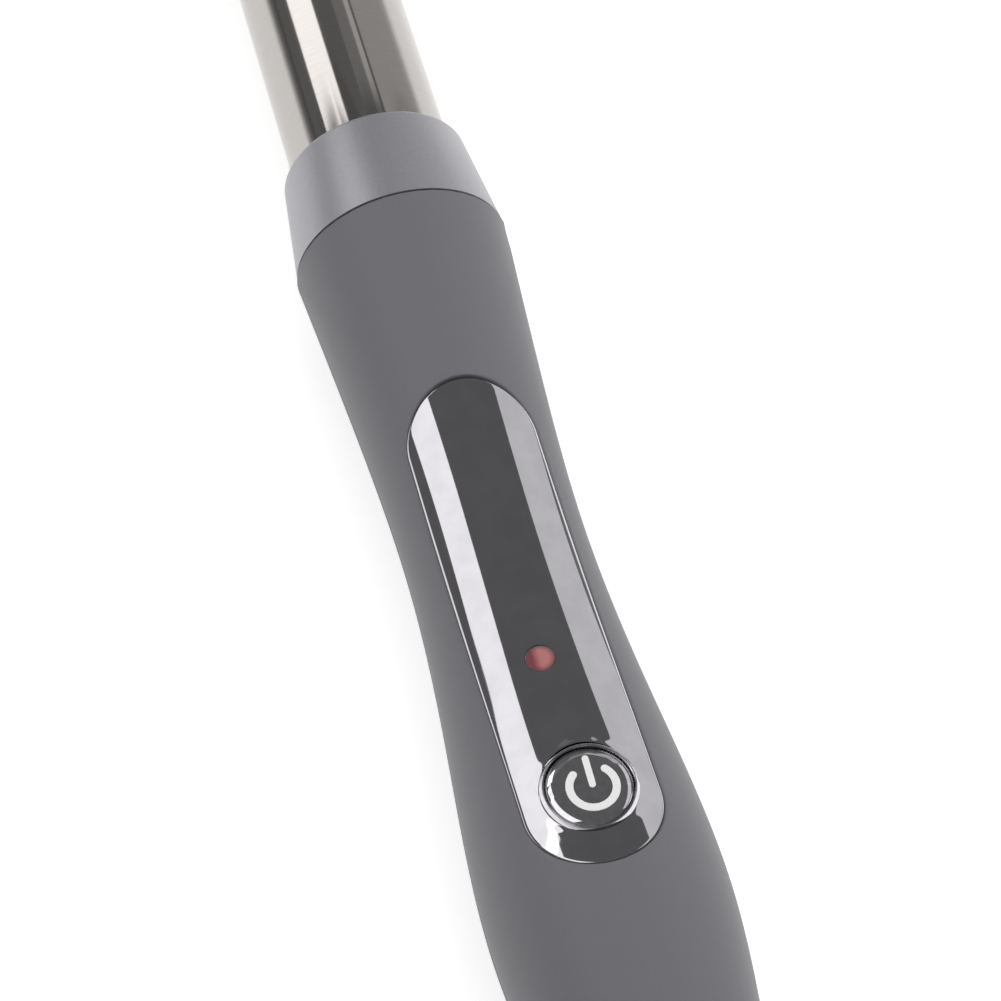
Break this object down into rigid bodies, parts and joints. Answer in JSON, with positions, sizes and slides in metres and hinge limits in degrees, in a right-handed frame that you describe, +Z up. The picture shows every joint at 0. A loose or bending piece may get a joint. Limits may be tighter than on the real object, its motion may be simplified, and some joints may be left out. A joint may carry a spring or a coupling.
{
  "type": "curling wand",
  "caption": "Hair curling wand: a smooth heated barrel with a cool tip on a waisted handle that carries a power button, an indicator light and a cord swivel.",
  "frame": {"origin": "on the surface the wand lies on, under the middle of its box", "axes": "+Z up, the way the control panel faces; +Y along the wand towards the barrel's tip; +X to the right of someone looking at the panel with the tip away from them"},
  "size_m": [0.0332, 0.32, 0.0332],
  "materials": {
    "titanium_barrel": "polished",
    "soft_touch_grey": "matte",
    "satin_grey": "satin",
    "dark_chrome": "polished",
    "bright_chrome": "polished",
    "symbol_white": "satin",
    "red_lens": "gloss",
    "led_epoxy": "gloss",
    "dark_rubber": "matte",
    "grey_rubber": "matte",
    "black_nylon": "satin",
    "plunger_black": "satin",
    "extruded_aluminium": "satin",
    "alumina": "matte",
    "mica_sheet": "satin",
    "spring_steel": "satin",
    "glass_bead": "gloss",
    "glass_fibre_sleeve": "matte",
    "fuse_metal": "satin",
    "zinc_plated_steel": "satin",
    "green_laminate": "satin",
    "black_epoxy": "satin",
    "yellow_case": "satin",
    "capacitor_sleeve": "gloss",
    "blue_epoxy": "gloss",
    "resistor_body": "satin",
    "fuse_ceramic": "gloss",
    "silicone_wire": "satin",
    "brass": "satin",
    "ptfe": "satin"
  },
  "bodies": {
    "wand": {"barrel_tube": "titanium_barrel", "handle_front_shell": "soft_touch_grey", "handle_rear_shell": "soft_touch_grey", "cool_tip": "soft_touch_grey", "collar": "satin_grey", "end_cap": "satin_grey", "panel_plate": "dark_chrome", "button_bezel": "bright_chrome", "indicator_lens": "red_lens", "indicator_led": "led_epoxy", "seam_ring": "dark_rubber", "screw_plugs": "grey_rubber", "panel_carrier": "black_nylon", "barrel_holder": "black_nylon", "brush_holder": "black_nylon", "tact_switch_body": "black_nylon", "heater_block_upper": "extruded_aluminium", "heater_block_lower": "extruded_aluminium", "ceramic_heater": "alumina", "insulating_sheets": "mica_sheet", "tip_insulator": "mica_sheet", "spreader_springs": "spring_steel", "switch_dome": "spring_steel", "tact_switch_cover": "spring_steel", "thermistor": "glass_bead", "thermistor_sleeve": "glass_fibre_sleeve", "fuse_sleeve": "glass_fibre_sleeve", "thermal_fuse": "fuse_metal", "barrel_screws": "zinc_plated_steel", "handle_screws": "zinc_plated_steel", "board_screws": "zinc_plated_steel", "circuit_board": "green_laminate", "triac": "black_epoxy", "control_chip": "black_epoxy", "film_capacitor": "yellow_case", "electrolytic_capacitor": "capacitor_sleeve", "surge_suppressor": "blue_epoxy", "resistors": "resistor_body", "board_fuse": "fuse_ceramic", "heater_leads": "silicone_wire", "thermistor_leads": "silicone_wire", "supply_leads": "silicone_wire", "crimp_sleeves": "brass", "contact_brushes": "brass", "swivel_washer": "ptfe"},
    "power_button": {"power_button": "bright_chrome", "power_symbol": "symbol_white"},
    "switch_plunger": {"tact_switch_plunger": "plunger_black"},
    "cord_swivel": {"swivel_spindle": "satin_grey", "contact_rings": "brass"}
  },
  "joints": [
    {"name": "button_press", "type": "slide", "parent": "wand", "child": "power_button", "axis": [0, -0.0576, -0.9983], "range_m": [0, 0.0005], "stiffness_N_per_m": 2000, "springref_m": -0.0005},
    {"name": "switch_press", "type": "slide", "parent": "wand", "child": "switch_plunger", "axis": [0, 0, -1], "range_m": [0, 0.0005]},
    {"name": "cord_turn", "type": "hinge", "parent": "wand", "child": "cord_swivel", "pos_m": [0, -0.155, 0.01662], "axis": [0, 1, 0], "continuous": true}
  ],
  "couplings": [
    {"joint": "switch_press", "follows": "button_press", "ratio": 1}
  ]
}
